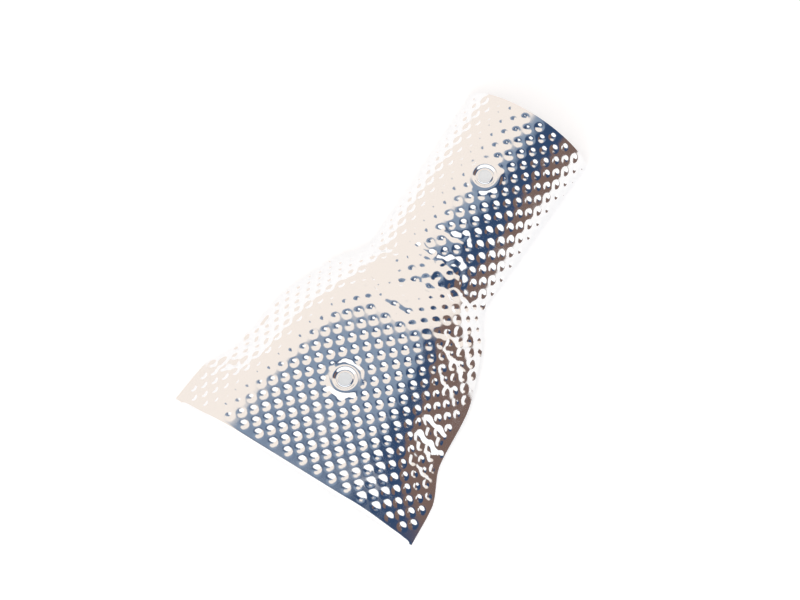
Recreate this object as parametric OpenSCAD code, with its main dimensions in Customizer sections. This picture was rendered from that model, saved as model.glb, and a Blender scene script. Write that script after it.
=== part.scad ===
// Heat shield pressed from one thin embossed aluminium sheet: a half-round trough that
// opens through a crumpled neck into a fan-shaped wide end, with two bolt pads on its crown.
// X runs from the wide end to the trough, Z is up, and the origin is the centre of the base.

/* [Sheet] */
// Length from the wide end to the end of the trough
length = 243; // [225:1:275]
// Thickness of the sheet
sheet_t = 0.6; // [0.4:0.1:1]

/* [Outline] */
// Width across the corners of the wide end
end_w = 154; // [140:1:170]
// Distance of the flare from the wide end
flare_at = 25; // [18:1:30]
// Width across the flare
flare_w = 150; // [136:1:160]
// Distance of the pinch from the wide end
pinch_at = 50; // [42:1:58]
// Width across the pinch
pinch_w = 131; // [120:1:142]
// Distance of the belly from the wide end
belly_at = 80; // [72:1:88]
// Width across the belly
belly_w = 125; // [112:1:134]
// Distance of the hip from the wide end
hip_at = 115; // [104:1:122]
// Width across the hip
hip_w = 101; // [90:1:110]
// Distance of the neck from the wide end
neck_at = 142; // [134:1:152]
// Width across the neck
neck_w = 76; // [66:1:84]
// Width across the feet at the end of the trough
trough_w = 79; // [68:1:90]
// How far the wide end's edge bows out past its corners
end_bow = 3.2; // [0:0.2:6]

/* [Heights] */
// Height of the crown at both bolt pads
crown_h = 27; // [22:0.5:34]
// Height of the crown at the wide end
end_h = 18.5; // [15:0.5:24]
// Distance of the crown's highest point from the wide end
crest_at = 98; // [88:1:104]
// Height of the crown's highest point
crest_h = 30; // [26:0.5:36]
// Height of the crown at the neck
neck_h = 23.5; // [19:0.5:30]
// Height of the side edges above the base at the belly
belly_lift = 2; // [0:0.5:4]

/* [Folds] */
// Width of the flat crown at the wide end
end_crown_w = 100; // [80:1:116]
// Width of the flat crown at the belly
belly_crown_w = 72; // [56:1:86]
// Width of the flat crown at the hip
hip_crown_w = 50; // [40:1:64]
// Length of sheet taken up by each side fold
fold_len = 34; // [16:1:48]
// Length of the smooth lip turned down at the wide end
lip_len = 2.4; // [1.6:0.2:4]
// Angle that the lip turns down
lip_angle = 50; // [20:5:75]

/* [Embossing] */
// Pitch of the square grid of dimples, which lies diagonally to the length
pitch = 6.7; // [6.3:0.1:9]
// Depth of each dimple
dimple_depth = 0.7; // [0.3:0.1:1.2]
// Plain border without dimples along the cut edges
border = 2.2; // [1:0.2:5]
// Depth of the creases pressed in at the neck and the sides
crease_depth = 1; // [0.2:0.1:1.4]
// Depth of the pocket pressed in beside the neck
pocket_depth = 1.8; // [0.5:0.1:3]

/* [Bolt pads] */
// Diameter of the two bolt holes
hole_d = 7.6; // [5.5:0.1:9]
// Width of the level seat round each hole
seat_w = 1.7; // [1.4:0.1:3]
// Width of the sloping wall round each seat
wall_w = 1; // [0.6:0.1:2]
// Depth of each seat below the crown
seat_depth = 0.9; // [0.3:0.1:1.5]
// Distance of the first hole from the wide end
wide_hole_at = 56; // [52:1:66]
// Distance of the second hole from the wide end
trough_hole_at = 197; // [180:1:208]

/* [Hidden] */
// Grid step: a quarter of the diagonal between dimples
step = pitch / sqrt(8);
// Steps that a half section is summed over
arc_n = 32;
// Length of the wide end over which the bow fades out
bow_run = 60;
// Distances from the side edges over which the wide end's lip and the creases fade out
corner_run = 12;
edge_run = 6;
// Width over which a pad's level ring runs out into the sheet
pad_run = 3;
// Width and rise of the rim round a pad
rim_w = 1;
rim_h = 0.15;
// Width and rise of the collar round a hole
collar_w = 0.6;
collar_h = 0.3;
// Facets of the pads' circles
round_n = 60;
lip_run = lip_len * cos(lip_angle);
lip_fall = lip_len * sin(lip_angle);
hole_r = hole_d / 2;
hole_at = [wide_hole_at, trough_hole_at];
pad_r = hole_r + seat_w + wall_w + rim_w;
// Stations along the sheet: [distance, half width]
half_width = [[0, end_w / 2], [flare_at, flare_w / 2], [pinch_at, pinch_w / 2],
              [belly_at, belly_w / 2], [hip_at, hip_w / 2], [neck_at, neck_w / 2],
              [(neck_at + length) / 2, (neck_w + trough_w) / 4], [length, trough_w / 2]];
// Stations: [distance, crown height]
crown = [[0, end_h], [wide_hole_at, crown_h], [crest_at, crest_h], [neck_at, neck_h],
         [trough_hole_at, crown_h], [length, crown_h]];
// Stations: [distance, half width of the flat crown]
half_crown = [[0, end_crown_w / 2], [belly_at, belly_crown_w / 2], [hip_at, hip_crown_w / 2],
              [neck_at, neck_w / 4], [length, trough_w / 4]];
// Stations: [distance, share of the bend that lies in the folds, the rest is spread evenly]
folded = [[0, 0.9], [hip_at, 0.85], [neck_at, 0.2], [neck_at + 20, 0], [length, 0]];
// Stations: [distance, height of the side edges above the base]
edge_lift = [[0, 0], [pinch_at, belly_lift / 2], [belly_at, belly_lift], [hip_at, belly_lift],
             [neck_at, 0], [length, 0]];
// Pressed creases: [start along, start across, end along, end across, half width, share of depth]
neck_creases = [[-26, 21, -31, 16, 2.2, 1], [-31, 16, -38, 7, 2.4, 1], [-38, 7, -37, -8, 2.6, 1],
                [-11, 36, -9, 29, 2.2, 0.9], [-9, 29, -6, 22, 2.2, 0.9], [-6, 22, -7, 11, 2.2, 0.8],
                [1, 14, 1, 1, 2.4, 0.9], [-3, 1, 4, -10, 2.4, 0.9], [-1, -9, 4, -18, 2.4, 0.9],
                [1, -15, -1, -23, 2.2, 0.8], [-11, -10, -11, -23, 2.6, 1], [-17, -2, -16, -12, 2.4, 0.9],
                [-22, 7, -20, 3, 2.2, 0.6], [16, 3, 17, -4, 2, 0.6], [17, -6, 18, -12, 2, 0.6],
                [-6, -22, -6, -29, 2.2, 0.9], [-6, -29, -8, -35, 2.2, 0.9], [-8, -35, -4, -42, 2.2, 0.8]];
hip_creases = [[-7, -32, 0, -46, 2.6, 0.8], [-13, -38, -14, -54, 2.6, 0.8], [-25, -42, -30, -58, 2.6, 0.7]];
pinch_creases = [[2, -52, 1, -70, 2.6, 0.9], [12, -50, 12, -66, 2.4, 0.7], [-8, -56, -10, -72, 2.4, 0.7],
                 [0, 52, 2, 70, 2.6, 0.9], [-14, 56, -18, 70, 2.6, 0.8], [10, 52, 14, 66, 2.4, 0.7]];
creases = [for (g = [[neck_at, neck_creases], [hip_at, hip_creases], [pinch_at, pinch_creases]], q = g[1])
           [[g[0] + q[0], q[1]], [g[0] + q[2], q[3]], q[4], q[5]]];
// Centre of the pocket from the neck and the centre line, and its half length and half width
pocket_at = [neck_at - 21, 9];
pocket_size = [12, 15];

function smooth(x) = let (t = min(1, max(0, x))) t * t * (3 - 2 * t);
function mix(a, b, t) = a * (1 - t) + b * t;
function total(list) = list * [for (q = list) 1];
function seg(t, x) = min(len(t) - 2, max(0, len([for (p = t) if (p[0] <= x) p]) - 1));
function rise(t, i) = (t[i + 1][1] - t[i][1]) / (t[i + 1][0] - t[i][0]);
// Slope at station i, level where the stations turn back, so that the curve never overshoots
function slope(t, i) =
    let (a = rise(t, max(i - 1, 0)), b = rise(t, min(i, len(t) - 2))) a * b <= 0 ? 0 : 2 * a * b / (a + b);
// Value at x of the smooth curve through the stations of t
function curve(t, x) =
    let (i = seg(t, x), h = t[i + 1][0] - t[i][0], f = (x - t[i][0]) / h, g = 1 - f)
    (1 + 2 * f) * g * g * t[i][1] + f * g * g * h * slope(t, i)
    + f * f * (3 - 2 * f) * t[i + 1][1] - f * f * g * h * slope(t, i + 1);

// Share of the whole bend made at the share s of a half section, with a fold centred at mid
function bend(s, share, mid, half) = (1 - share) * s + share * smooth((s - mid + half) / (2 * half));
// Height over half width of a half section that bends by the angle a in all
function aspect(a, turns) = total([for (t = turns) sin(a * t)]) / total([for (t = turns) cos(a * t)]);
// Whole bend that gives a half section the wanted aspect, by halving the interval
function whole_bend(want, turns, lo = 5, hi = 130, n = 18) =
    let (mid = (lo + hi) / 2, low = aspect(mid, turns) < want)
    n == 0 ? mid : whole_bend(want, turns, low ? mid : lo, low ? hi : mid, n - 1);

function sums(list) =
    [for (k = 0, s = 0; k <= len(list); s = s + (k < len(list) ? list[k] : 0), k = k + 1) s];
function table(list) = [for (k = [0 : arc_n]) [k / arc_n, list[k]]];
// Half section of the plain outer face at the distance u from the wide end, as
// [u, half length, crown height, table of widths, table of drops, table of angles]
function section(u) =
    let (w = curve(half_width, u), c = curve(half_crown, u), top = curve(crown, u),
         high = top - curve(edge_lift, u), rough = c + norm([w - c, high]), share = curve(folded, u),
         turns = [for (k = [0.5 : arc_n]) bend(k / arc_n, share, c / rough, fold_len / 2 / rough)],
         foot = sheet_t * cos(whole_bend(high / w, turns)), a = whole_bend((high - foot) / w, turns),
         part = w / total([for (t = turns) cos(a * t)]))
    [u, part * arc_n, top, table(sums([for (t = turns) part * cos(a * t)])),
     table(sums([for (t = turns) part * sin(a * t)])), table([0, for (t = turns) a * t])];

// Point of the plain outer face on the section r at the distance v across
function plain(r, v) =
    let (s = min(1, abs(v) / r[1]), fade = max(0, 1 - r[0] / bow_run))
    [r[0] - length / 2 + end_bow * pow(s, 4) * fade * fade,
     sign(v) * lookup(s, r[3]),
     r[2] - lookup(s, r[4])];
function unit(q) = q / norm(q);
// Outward direction of the plain face on section k at the distance v across
function outward(k, v) =
    let (a = lookup(min(1, abs(v) / sections[k][1]), sections[k][5]),
         along = plain(sections[min(k + 1, last)], v) - plain(sections[max(k - 1, 0)], v))
    unit(cross(along, [0, cos(a), -sign(v) * sin(a)]));

// Share of its depth that the crease g has at q, where its half width is more by the value wider
function crease(q, g, wider) =
    let (d = g[1] - g[0], t = min(1, max(0, (q - g[0]) * d / (d * d))),
         r = norm(q - g[0] - t * d) / (g[2] + wider))
    r > 3 ? 0 : g[3] * exp(-r * r);
// Depth of the creases and the pocket at q, the distances along and across
function pressed(q, wider) =
    let (d = [(q[0] - pocket_at[0]) / pocket_size[0], (q[1] - pocket_at[1]) / pocket_size[1]])
    crease_depth * max([for (g = creases) crease(q, g, wider)]) + pocket_depth * exp(-pow(norm(d), 4));
// 1 at the centre of a dimple and 0 between dimples, for whole grid steps i along and j across
function dimpled(i, j, u, inside) =
    (i % 4 == 0 && j % 4 == 0 || i % 4 == 2 && abs(j % 4) == 2)
    && min(u - lip_run, length - u, inside) > border ? 1 : 0;
// 1 on a pad and 0 clear of it
function on_pad(q) =
    let (far = min([for (x = hole_at) norm([q[0] - x, q[1]])])) 1 - smooth((far - pad_r - 0.4) / pad_run);

// Distances along the sheet of its sections: the lip's edge, the grid's rows and the far end
rows = floor((length - lip_run) / step - 0.4);
last = rows + 2;
sections = [section(0), for (i = [0 : rows]) section(lip_run + i * step), section(length)];
// Grid steps across on section k, on the grid of the face that takes every so many rows
function grid(k, every) =
    let (half = sections[k][1] / step, odd = every == 1 && k % 2 == 0 ? 1 : 0,
         n = floor((half - 0.6 - odd) / 2))
    [-half, for (j = [-n - odd : n]) 2 * j + odd, half];
// Point of the sheet on section k at j grid steps across, at the depth deep in the sheet
function spot(k, j, deep) =
    let (r = sections[k], v = j * step, q = [r[0], v], level = on_pad(q), inside = r[1] - abs(v),
         fold = k == 0 ? lip_fall * smooth(inside / corner_run) : 0,
         dimple = dimple_depth * dimpled(k - 1, j, r[0], inside), wider = deep > 0 ? step : 0,
         down = k == 0 ? 0 : dimple + pressed(q, wider) * smooth(inside / edge_run),
         p = plain(r, v) - (deep + down * (1 - level)) * outward(k, v))
    [p[0], p[1], mix(p[2] - fold, crown_h - deep, level)];

// The triangles between two rows of points, by the places ka and kb of the points along them
function ahead(ka, kb, i, j) = j == len(kb) - 1 || (i < len(ka) - 1 && ka[i + 1] <= kb[j + 1]);
function stitch(a, b, ka, kb, flip = false) =
    [for (i = 0, j = 0, s = ahead(ka, kb, 0, 0); i + j < len(a) + len(b) - 2;
          i = s ? i + 1 : i, j = s ? j : j + 1, s = ahead(ka, kb, i, j))
     let (f = s ? [a[i], a[i + 1], b[j]] : [a[i], b[j + 1], b[j]])
     flip ? [f[0], f[2], f[1]] : f];
function range(from, n) = [for (i = [0 : n - 1]) from + i];
function firsts(lists) = [for (g = lists) g[0]];
function lasts(lists) = [for (g = lists) g[len(g) - 1]];

module sheet() {
    outer_k = [for (k = [0 : last]) k];
    inner_k = [0, for (k = [1 : 2 : last - 1]) k, last];
    outer = [for (k = outer_k) grid(k, 1)];
    inner = [for (k = inner_k) grid(k, 2)];
    n_out = len(outer);
    n_in = len(inner);
    counts = [for (g = concat(outer, inner)) len(g)];
    starts = sums(counts);
    ids = [for (i = [0 : len(counts) - 1]) range(starts[i], counts[i])];
    out_ids = [for (i = [0 : n_out - 1]) ids[i]];
    in_ids = [for (i = [0 : n_in - 1]) ids[n_out + i]];
    points = [for (i = [0 : n_out - 1], j = outer[i]) spot(outer_k[i], j, 0),
              for (i = [0 : n_in - 1], j = inner[i]) spot(inner_k[i], j, sheet_t)];
    faces = [for (i = [0 : n_out - 2]) each stitch(out_ids[i], out_ids[i + 1], outer[i], outer[i + 1]),
             for (i = [0 : n_in - 2]) each stitch(in_ids[i], in_ids[i + 1], inner[i], inner[i + 1], true),
             each stitch(firsts(out_ids), firsts(in_ids), outer_k, inner_k),
             each stitch(lasts(out_ids), lasts(in_ids), outer_k, inner_k, true),
             each stitch(out_ids[0], in_ids[0], outer[0], inner[0], true),
             each stitch(out_ids[n_out - 1], in_ids[n_in - 1], outer[n_out - 1], inner[n_in - 1])];
    polyhedron(points, faces, convexity = 10);
}

// Pressed dish round a bolt hole, with a rim where it meets the sheet and a collar at the hole
module pad() {
    seat_r = hole_r + seat_w;
    wall_r = seat_r + wall_w;
    top = [[hole_r, collar_h - seat_depth], [hole_r + collar_w / 2, collar_h - seat_depth],
           [hole_r + collar_w, -seat_depth], [seat_r, -seat_depth], [wall_r, rim_h], [pad_r, rim_h]];
    under = [[pad_r, -sheet_t - rim_h], [wall_r, -sheet_t - rim_h],
             [seat_r, -sheet_t - seat_depth], [hole_r, -sheet_t - seat_depth]];
    rotate_extrude($fn = round_n) polygon(concat(top, under));
}

module heat_shield() {
    color("silver") union() {
        difference() {
            sheet();
            for (x = hole_at)
                translate([x - length / 2, 0, crown_h / 2])
                    cylinder(h = crown_h, r = pad_r - rim_w, $fn = round_n);
        }
        for (x = hole_at) translate([x - length / 2, 0, crown_h]) pad();
    }
}

heat_shield();
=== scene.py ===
"""Looks of the heat shield: one embossed aluminium sheet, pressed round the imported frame.

The sheet starts as a flat blank, gets its bolt pads, and is then pressed into the trough and
the wide end. Distances along the sheet (u) and across it (v) are in millimetres on the blank.
"""

from math import cos, hypot, pi, radians, sin, sqrt

import bpy
import numpy as np
from mathutils import Matrix, Vector


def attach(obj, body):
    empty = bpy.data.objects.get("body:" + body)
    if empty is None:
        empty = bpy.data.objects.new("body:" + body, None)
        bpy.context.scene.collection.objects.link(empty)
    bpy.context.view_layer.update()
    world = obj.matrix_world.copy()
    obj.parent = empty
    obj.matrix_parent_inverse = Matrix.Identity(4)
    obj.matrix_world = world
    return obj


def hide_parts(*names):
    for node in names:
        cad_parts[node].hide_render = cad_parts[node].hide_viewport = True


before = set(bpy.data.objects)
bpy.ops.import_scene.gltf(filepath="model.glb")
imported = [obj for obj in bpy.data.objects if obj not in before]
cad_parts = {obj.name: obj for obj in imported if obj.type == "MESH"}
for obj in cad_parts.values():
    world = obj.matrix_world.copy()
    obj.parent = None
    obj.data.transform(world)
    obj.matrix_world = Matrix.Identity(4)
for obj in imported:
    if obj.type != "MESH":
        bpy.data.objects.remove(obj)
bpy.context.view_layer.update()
bpy.ops.object.select_all(action="DESELECT")
scene = bpy.context.scene
MM = 0.001

# Camera at the photograph's viewing angle
VIEW_ELEVATION = radians(69.68)
VIEW_AZIMUTH = radians(57.11)
VIEW_DISTANCE = 2.01
AIM = Vector((0, 0, 0.015))
LENS = 164.5
SHIFT = (-0.0134, -0.0115)
to_camera = Vector((-sin(VIEW_AZIMUTH) * cos(VIEW_ELEVATION), -cos(VIEW_AZIMUTH) * cos(VIEW_ELEVATION),
                    sin(VIEW_ELEVATION)))
picture_right = Vector((0, 0, 1)).cross(to_camera).normalized()
picture_back = Vector((0, 0, 1)).cross(picture_right)


def add_camera():
    bpy.ops.object.camera_add(location=AIM + VIEW_DISTANCE * to_camera)
    camera = bpy.context.object
    camera.name = "photo_camera"
    camera.rotation_euler = to_camera.to_track_quat("Z", "Y").to_euler()
    camera.data.lens = LENS
    camera.data.sensor_width = 36
    camera.data.shift_x, camera.data.shift_y = SHIFT
    camera.data.clip_end = 20
    scene.camera = camera
    scene.view_settings.view_transform = "Standard"


# Sizes of the sheet, as in the part's source
LENGTH = 243
SHEET_T = 0.6
END_W, FLARE_W, PINCH_W, BELLY_W, HIP_W, NECK_W, TROUGH_W = 154, 150, 131, 125, 101, 76, 79
FLARE_AT, PINCH_AT, BELLY_AT, HIP_AT, NECK_AT = 25, 50, 80, 115, 142
END_BOW, BOW_RUN = 3.2, 60
CROWN_H, END_H, CREST_AT, CREST_H, NECK_H, BELLY_LIFT = 27, 18.5, 98, 30, 23.5, 2
END_CROWN_W, BELLY_CROWN_W, HIP_CROWN_W, FOLD_LEN = 100, 72, 50, 34
LIP_LEN, LIP_ANGLE = 2.4, radians(50)
PITCH, DIMPLE_DEPTH, DIMPLE_R, BORDER = 6.7, 0.75, 2.95, 2.2
CREASE_DEPTH, POCKET_DEPTH = 1, 1.8
HOLE_R, SEAT_R, WALL_R, PAD_R, SEAT_DEPTH = 3.8, 5.5, 6.5, 7.5, 0.9
WIDE_HOLE_AT, TROUGH_HOLE_AT = 56, 197
CORNER_RUN, EDGE_RUN, PAD_RUN = 12, 6, 3

lip_run = LIP_LEN * cos(LIP_ANGLE)
lip_fall = LIP_LEN * sin(LIP_ANGLE)
diagonal = PITCH * sqrt(2)
cell = diagonal / 11
hole_at = [WIDE_HOLE_AT, TROUGH_HOLE_AT]

# Stations along the sheet: distance from the wide end, then the value there
half_width = [(0, END_W / 2), (FLARE_AT, FLARE_W / 2), (PINCH_AT, PINCH_W / 2), (BELLY_AT, BELLY_W / 2),
              (HIP_AT, HIP_W / 2), (NECK_AT, NECK_W / 2),
              ((NECK_AT + LENGTH) / 2, (NECK_W + TROUGH_W) / 4), (LENGTH, TROUGH_W / 2)]
crown = [(0, END_H), (WIDE_HOLE_AT, CROWN_H), (CREST_AT, CREST_H), (NECK_AT, NECK_H),
         (TROUGH_HOLE_AT, CROWN_H), (LENGTH, CROWN_H)]
half_crown = [(0, END_CROWN_W / 2), (BELLY_AT, BELLY_CROWN_W / 2), (HIP_AT, HIP_CROWN_W / 2),
              (NECK_AT, NECK_W / 4), (LENGTH, TROUGH_W / 4)]
folded = [(0, 0.9), (HIP_AT, 0.85), (NECK_AT, 0.2), (NECK_AT + 20, 0), (LENGTH, 0)]
edge_lift = [(0, 0), (PINCH_AT, BELLY_LIFT / 2), (BELLY_AT, BELLY_LIFT), (HIP_AT, BELLY_LIFT),
             (NECK_AT, 0), (LENGTH, 0)]

# Pressed creases: start along, start across, end along, end across, half width, share of depth
neck_creases = [(-26, 21, -31, 16, 2.2, 1), (-31, 16, -38, 7, 2.4, 1), (-38, 7, -37, -8, 2.6, 1),
                (-11, 36, -9, 29, 2.2, 0.9), (-9, 29, -6, 22, 2.2, 0.9), (-6, 22, -7, 11, 2.2, 0.8),
                (1, 14, 1, 1, 2.4, 0.9), (-3, 1, 4, -10, 2.4, 0.9), (-1, -9, 4, -18, 2.4, 0.9),
                (1, -15, -1, -23, 2.2, 0.8), (-11, -10, -11, -23, 2.6, 1), (-17, -2, -16, -12, 2.4, 0.9),
                (-22, 7, -20, 3, 2.2, 0.6), (16, 3, 17, -4, 2, 0.6), (17, -6, 18, -12, 2, 0.6),
                (-6, -22, -6, -29, 2.2, 0.9), (-6, -29, -8, -35, 2.2, 0.9), (-8, -35, -4, -42, 2.2, 0.8)]
hip_creases = [(-7, -32, 0, -46, 2.6, 0.8), (-13, -38, -14, -54, 2.6, 0.8), (-25, -42, -30, -58, 2.6, 0.7)]
pinch_creases = [(2, -52, 1, -70, 2.6, 0.9), (12, -50, 12, -66, 2.4, 0.7), (-8, -56, -10, -72, 2.4, 0.7),
                 (0, 52, 2, 70, 2.6, 0.9), (-14, 56, -18, 70, 2.6, 0.8), (10, 52, 14, 66, 2.4, 0.7)]
creases = [(at + q[0], q[1], at + q[2], q[3], q[4], q[5])
           for at, group in ((NECK_AT, neck_creases), (HIP_AT, hip_creases), (PINCH_AT, pinch_creases))
           for q in group]
pocket_at = (NECK_AT - 21, 9)
pocket_size = (12, 15)


def smooth(x):
    t = np.clip(x, 0, 1)
    return t * t * (3 - 2 * t)


def curve(stations, x):
    """Value at x of the smooth curve through the stations, level where they turn back."""
    at, value = np.array(stations, float).T
    rise = np.diff(value) / np.diff(at)
    before, after = np.append(rise[0], rise), np.append(rise, rise[-1])
    product, both = before * after, before + after
    slope = np.where(product > 0, 2 * product / np.where(product > 0, both, 1), 0)
    i = np.clip(np.searchsorted(at, x, side="right") - 1, 0, len(at) - 2)
    h = at[i + 1] - at[i]
    f = (x - at[i]) / h
    g = 1 - f
    return ((1 + 2 * f) * g * g * value[i] + f * g * g * h * slope[i]
            + f * f * (3 - 2 * f) * value[i + 1] - f * f * g * h * slope[i + 1])


TABLE_STEP = 0.5
ARC_N = 96


def bend_tables():
    """Half length, crown height, widths and drops of the sections at each table step."""
    u = np.arange(0, LENGTH + TABLE_STEP / 2, TABLE_STEP)
    w, c, top = curve(half_width, u), curve(half_crown, u), curve(crown, u)
    high, share = top - curve(edge_lift, u), curve(folded, u)
    rough = c + np.hypot(w - c, high)
    s = (np.arange(ARC_N) + 0.5) / ARC_N
    mid, half = (c / rough)[:, None], (FOLD_LEN / 2 / rough)[:, None]
    turns = (1 - share)[:, None] * s + share[:, None] * smooth((s - mid + half) / (2 * half))

    def whole_bend(want):
        low, high_angle = np.full(len(u), 5.0), np.full(len(u), 130.0)
        for _ in range(24):
            angle = (low + high_angle) / 2
            turned = np.radians(angle[:, None] * turns)
            short = np.sin(turned).sum(1) / np.cos(turned).sum(1) < want
            low, high_angle = np.where(short, angle, low), np.where(short, high_angle, angle)
        return np.radians((low + high_angle) / 2)

    foot = SHEET_T * np.cos(whole_bend(high / w))
    angle = whole_bend((high - foot) / w)[:, None] * turns
    part = w / np.cos(angle).sum(1)
    start = np.zeros((len(u), 1))
    widths = np.hstack([start, np.cumsum(np.cos(angle) * part[:, None], axis=1)])
    drops = np.hstack([start, np.cumsum(np.sin(angle) * part[:, None], axis=1)])
    return part * ARC_N, top, widths, drops


half_len, crown_line, width_table, drop_table = bend_tables()


def half_length(u):
    return np.interp(u, np.arange(len(half_len)) * TABLE_STEP, half_len)


def plain(u, v):
    """Points of the plain outer face at the distances u along and v across."""
    s = np.clip(np.abs(v) / half_length(u), 0, 1)
    i = np.clip((u / TABLE_STEP).astype(int), 0, len(half_len) - 2)
    j = np.clip((s * ARC_N).astype(int), 0, ARC_N - 1)
    f, g = u / TABLE_STEP - i, s * ARC_N - j

    def look(table):
        near = table[i, j] * (1 - g) + table[i, j + 1] * g
        far = table[i + 1, j] * (1 - g) + table[i + 1, j + 1] * g
        return near * (1 - f) + far * f

    fade = np.clip(1 - u / BOW_RUN, 0, 1)
    top = np.interp(u, np.arange(len(crown_line)) * TABLE_STEP, crown_line)
    return np.stack([u - LENGTH / 2 + END_BOW * s ** 4 * fade ** 2, np.sign(v) * look(width_table),
                     top - look(drop_table)], axis=1)


def outward(u, v, h=0.6):
    """Unit normals of the plain face."""
    along = plain(np.minimum(u + h, LENGTH), v) - plain(np.maximum(u - h, 0), v)
    half = half_length(u)
    across = plain(u, np.minimum(v + h, half)) - plain(u, np.maximum(v - h, -half))
    normal = np.cross(along, across)
    return normal / np.linalg.norm(normal, axis=1)[:, None]


def groove(r):
    """Depth of a crease at the share r of its half width."""
    return np.exp(-r * r)


def pressed(u, v):
    """Depth of the creases and the pocket."""
    depth = np.zeros(len(u))
    for u0, v0, u1, v1, half, share in creases:
        du, dv = u1 - u0, v1 - v0
        t = np.clip(((u - u0) * du + (v - v0) * dv) / (du * du + dv * dv), 0, 1)
        away = np.hypot(u - u0 - t * du, v - v0 - t * dv)
        depth = np.maximum(depth, share * groove(away / half))
    across = np.hypot((u - pocket_at[0]) / pocket_size[0], (v - pocket_at[1]) / pocket_size[1])
    return CREASE_DEPTH * depth + POCKET_DEPTH * np.exp(-across ** 4)


def dimpled(u, v, inside):
    """Depth of the round dimples, as a share: two crossed square grids make the diagonal one."""
    share = np.zeros(len(u))
    for shift in (0, diagonal / 2):
        i = np.round((u - lip_run - shift) / diagonal)
        j = np.round((v - shift) / diagonal)
        du, dv = u - lip_run - shift - i * diagonal, v - shift - j * diagonal
        edge = np.minimum(np.minimum(u - du - lip_run, LENGTH - u + du), inside + np.sign(v) * dv)
        bowl = 0.5 + 0.5 * np.cos(pi * np.clip(np.hypot(du, dv) / DIMPLE_R, 0, 1))
        share = np.maximum(share, bowl * (edge > BORDER))
    return share


def pad_rise(far):
    """Height of a bolt pad's dish over the crown at the distance far from its hole."""
    wall = smooth((far - SEAT_R + 0.4) / (WALL_R - SEAT_R + 0.8))
    rim = smooth((PAD_R + 0.8 - far) / 1.6)
    collar = smooth((HOLE_R + 0.75 - far) / 0.5)
    return -SEAT_DEPTH * (1 - wall) + 0.15 * wall * rim + 0.3 * collar


def press(u, v):
    """Points of the pressed sheet's outer face, in millimetres."""
    inside = half_length(u) - np.abs(v)
    far = np.min([np.hypot(u - x, v) for x in hole_at], axis=0)
    level = 1 - smooth((far - PAD_R - 0.4) / PAD_RUN)
    down = DIMPLE_DEPTH * dimpled(u, v, inside) + pressed(u, v) * smooth(inside / EDGE_RUN)
    lip = np.clip(1 - u / lip_run, 0, 1)
    down = down * (1 - level) * smooth((u - lip_run) / 1.5)
    points = plain(u, v) - down[:, None] * outward(u, v)
    points[:, 2] -= lip_fall * lip ** 1.7 * smooth(inside / CORNER_RUN)
    points[:, 2] = points[:, 2] * (1 - level) + (CROWN_H + pad_rise(far)) * level
    return points


# Radii of the rings of faces round each bolt hole, from the sheet to the hole
RING_RADII = [9.6, 9.0, 8.4, 7.9, 7.4, 6.9, 6.5, 6.1, 5.8, 5.5, 5.2, 4.85, 4.55, 4.35, 4.15, 4.0, 3.8]
LIP_ROWS = 5


def select_none():
    bpy.ops.mesh.select_all(action="DESELECT")


def flat_blank():
    """The flat sheet as a grid along and across, with its side edges cut to length."""
    rows = round((LENGTH - lip_run) / cell)
    columns = 2 * int(half_len.max() / cell + 1)
    size = ((rows + LIP_ROWS) * cell, columns * cell)
    bpy.ops.mesh.primitive_grid_add(x_subdivisions=rows + LIP_ROWS, y_subdivisions=columns, size=1)
    sheet = bpy.context.object
    sheet.name = sheet.data.name = "embossed_sheet"
    mesh = sheet.data
    co = np.zeros(len(mesh.vertices) * 3, np.float32)
    mesh.vertices.foreach_get("co", co)
    co = co.reshape(-1, 3).astype(float)
    row = np.round((co[:, 0] + 0.5) * (rows + LIP_ROWS))
    v = co[:, 1] * size[1]
    step = (LENGTH - lip_run) / rows
    u = np.where(row < LIP_ROWS, row * lip_run / LIP_ROWS, lip_run + (row - LIP_ROWS) * step)
    half = half_length(u)
    v = np.where(np.abs(v) > half - 0.45 * cell, np.sign(v) * half, v)
    mesh.vertices.foreach_set("co", np.stack([u, v, 0 * u], axis=1).ravel().astype(np.float32))
    bpy.ops.object.mode_set(mode="EDIT")
    bpy.ops.mesh.select_all(action="SELECT")
    bpy.ops.mesh.remove_doubles(threshold=0.01)
    bpy.ops.object.mode_set(mode="OBJECT")
    return sheet


def open_pad(sheet, at):
    """Cuts the bolt hole at the distance at, with rings of faces round it."""
    mesh = sheet.data
    bpy.ops.object.mode_set(mode="EDIT")
    bpy.ops.mesh.select_mode(type="FACE")
    select_none()
    bpy.ops.object.mode_set(mode="OBJECT")
    for face in mesh.polygons:
        face.select = hypot(face.center.x - at, face.center.y) < RING_RADII[0]
    bpy.ops.object.mode_set(mode="EDIT")
    bpy.ops.mesh.delete(type="FACE")
    bpy.ops.mesh.select_mode(type="VERT")
    bpy.ops.mesh.select_non_manifold(extend=False)
    bpy.ops.object.mode_set(mode="OBJECT")
    for vertex in mesh.vertices:
        far = hypot(vertex.co.x - at, vertex.co.y)
        vertex.select = vertex.select and far < RING_RADII[0] + 2 * cell
        if vertex.select:
            vertex.co.x = at + (vertex.co.x - at) * RING_RADII[0] / far
            vertex.co.y *= RING_RADII[0] / far
    for edge in mesh.edges:
        edge.select = all(mesh.vertices[i].select for i in edge.vertices)
    bpy.ops.object.mode_set(mode="EDIT")
    bpy.ops.mesh.select_mode(type="EDGE")
    for outer, inner in zip(RING_RADII, RING_RADII[1:]):
        bpy.ops.mesh.extrude_edges_move()
        ratio = inner / outer
        bpy.ops.transform.resize(value=(ratio, ratio, 1), center_override=(at, 0, 0))
    bpy.ops.object.mode_set(mode="OBJECT")


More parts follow.
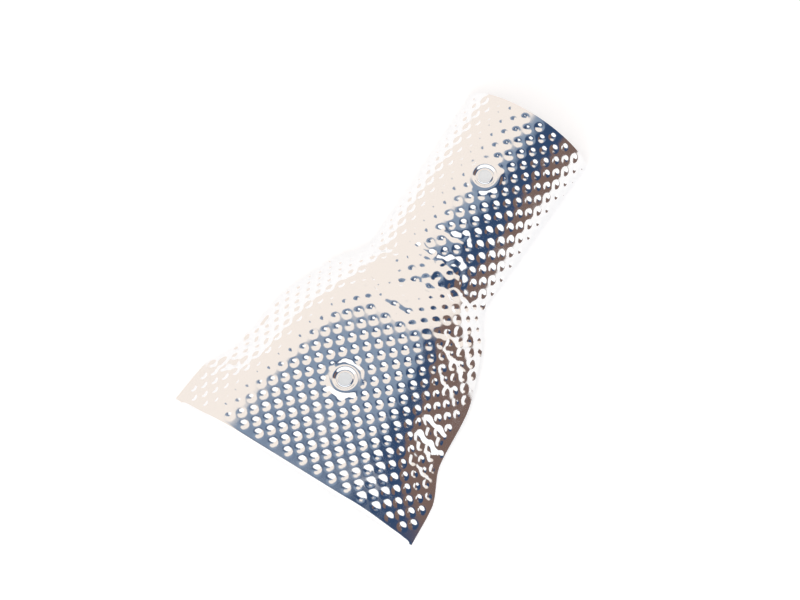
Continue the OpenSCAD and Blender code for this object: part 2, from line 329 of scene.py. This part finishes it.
def press_sheet(sheet):
    mesh = sheet.data
    co = np.zeros(len(mesh.vertices) * 3, np.float32)
    mesh.vertices.foreach_get("co", co)
    u, v = co.reshape(-1, 3)[:, :2].T.astype(float)
    points = press(u, v) * MM
    mesh.vertices.foreach_set("co", points.ravel().astype(np.float32))
    mesh.update()


def embossed_sheet():
    sheet = flat_blank()
    for at in hole_at:
        open_pad(sheet, at)
    press_sheet(sheet)
    wall = sheet.modifiers.new("Wall", "SOLIDIFY")
    wall.thickness = SHEET_T * MM
    wall.offset = -1
    bpy.ops.object.modifier_apply(modifier=wall.name)
    bpy.ops.object.shade_smooth_by_angle(angle=radians(50))
    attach(sheet, "root")
    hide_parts("heat_shield")
    return sheet


class Wire:
    """A shader socket in Python sums: an operator adds a Math node, and node() adds any other."""

    def __init__(self, tree, socket=None):
        self.tree = tree
        self.socket = socket

    def node(self, kind, settings=None, values=None, out=0):
        made = self.tree.nodes.new(kind)
        for key, value in (settings or {}).items():
            if key == "stops":
                ramp = made.color_ramp
                for stop in value[2:]:
                    ramp.elements.new(stop[0])
                for element, stop in zip(ramp.elements, value):
                    element.position, element.color = stop[0], (*stop[1], 1)
            else:
                setattr(made, key, value)
        for key, value in (values or {}).items():
            if isinstance(value, Wire):
                self.tree.links.new(value.socket, made.inputs[key])
            else:
                made.inputs[key].default_value = value
        return Wire(self.tree, made.outputs[out])

    def math(self, operation, *values):
        return self.node("ShaderNodeMath", {"operation": operation}, dict(enumerate(values)))

    def __add__(self, other):
        return self.math("ADD", self, other)

    def __radd__(self, other):
        return self.math("ADD", other, self)

    def __sub__(self, other):
        return self.math("SUBTRACT", self, other)

    def __rsub__(self, other):
        return self.math("SUBTRACT", other, self)

    def __mul__(self, other):
        return self.math("MULTIPLY", self, other)

    def __rmul__(self, other):
        return self.math("MULTIPLY", other, self)

    def step(self, low, high):
        """0 below low, 1 above high, and smooth between them."""
        return self.node("ShaderNodeMapRange", {"interpolation_type": "SMOOTHSTEP"},
                         {"Value": self, "From Min": low, "From Max": high})

    def mix(self, first, second):
        """The first colour where this wire is 0 and the second where it is 1."""
        return self.node("ShaderNodeMix", {"data_type": "RGBA"}, {0: self, 6: first, 7: second}, out=2)

    def both(self, other):
        return self.math("MULTIPLY", self, other)

    def either(self, other):
        return self.math("MAXIMUM", self, other)


def colour(red, green, blue):
    return (red, green, blue, 1)


# Colours of the studio round the sheet, as the bright foil shows them
SKY_BLUE = colour(0.25, 0.32, 0.43)
NAVY = colour(0.035, 0.07, 0.15)
BROWN = colour(0.2, 0.13, 0.11)
CREAM = colour(1.0, 0.9, 0.82)
WHITE = colour(1.25, 1.25, 1.25)


def studio_world():
    world = bpy.data.worlds.new("studio")
    scene.world = world
    world.use_nodes = True
    tree = world.node_tree
    tree.nodes.clear()
    start = Wire(tree)
    ray = start.node("ShaderNodeTexCoord")

    def towards(direction):
        return start.node("ShaderNodeVectorMath", {"operation": "DOT_PRODUCT"}, {0: ray, 1: direction}, out=1)

    back = towards(picture_back)
    right = towards(picture_right)
    front_edge = back + 0.35 * right.math("MAXIMUM", right, 0)
    blue = back.step(-0.08, 0.12).mix(NAVY, SKY_BLUE)
    shade = right.step(0.3, 0.5)
    blue = shade.mix(blue, NAVY)
    brown = right.step(0.8, 0.86)
    side = brown.mix(blue, BROWN)
    cream = back.step(0.26, 0.36).either((0 - right).step(0.3, 0.42))
    rear = cream.mix(side, CREAM)
    front = (0 - front_edge).step(0.08, 0.14)
    zones = front.mix(rear, WHITE)
    seen = start.node("ShaderNodeLightPath")
    shown = seen.mix(zones, colour(1, 1, 1))
    light = start.node("ShaderNodeBackground", None, {"Color": shown, "Strength": 1})
    start.node("ShaderNodeOutputWorld", None, {"Surface": light}) if False else None
    output = tree.nodes.new("ShaderNodeOutputWorld")
    tree.links.new(light.socket, output.inputs["Surface"])


def new_material(name):
    material = bpy.data.materials.new(name)
    material.use_nodes = True
    material.node_tree.nodes.clear()
    return material, Wire(material.node_tree)


def finish_material(tree, shader):
    output = tree.nodes.new("ShaderNodeOutputMaterial")
    tree.links.new(shader.socket, output.inputs["Surface"])


def bright_foil():
    """Bright rolled aluminium with fine scuffs."""
    material, start = new_material("bright_foil")
    place = start.node("ShaderNodeTexCoord", out=3)
    scuffs = start.node("ShaderNodeTexNoise", None, {"Vector": place, "Scale": 900, "Detail": 3})
    patches = start.node("ShaderNodeTexNoise", None, {"Vector": place, "Scale": 60, "Detail": 4})
    rough = 0.07 + 0.1 * patches.step(0.4, 0.75) + 0.05 * scuffs
    normal = start.node("ShaderNodeBump", None, {"Strength": 0.25, "Distance": 0.0001, "Height": patches})
    metal = start.node("ShaderNodeBsdfPrincipled", None,
                       {"Base Color": colour(0.91, 0.92, 0.93), "Metallic": 1, "Roughness": rough,
                        "Normal": normal})
    finish_material(start.tree, metal)
    return material


def pale_floor():
    bpy.ops.mesh.primitive_plane_add(size=6, location=(0, 0, 0))
    floor = bpy.context.object
    floor.name = "floor"
    material, start = new_material("pale_floor")
    seen = start.node("ShaderNodeLightPath")
    diffuse = start.node("ShaderNodeBsdfPrincipled", None,
                         {"Base Color": colour(0.85, 0.85, 0.85), "Roughness": 1, "Specular IOR Level": 0})
    glossy = start.node("ShaderNodeLightPath", out=3)
    glow = start.node("ShaderNodeEmission", None, {"Color": colour(1, 1, 1), "Strength": 0.35 * seen.either(glossy)})
    both = start.node("ShaderNodeAddShader", None, {0: diffuse, 1: glow})
    finish_material(start.tree, both)
    floor.data.materials.append(material)


add_camera()
studio_world()
pale_floor()
sheet = embossed_sheet()
sheet.data.materials.append(bright_foil())
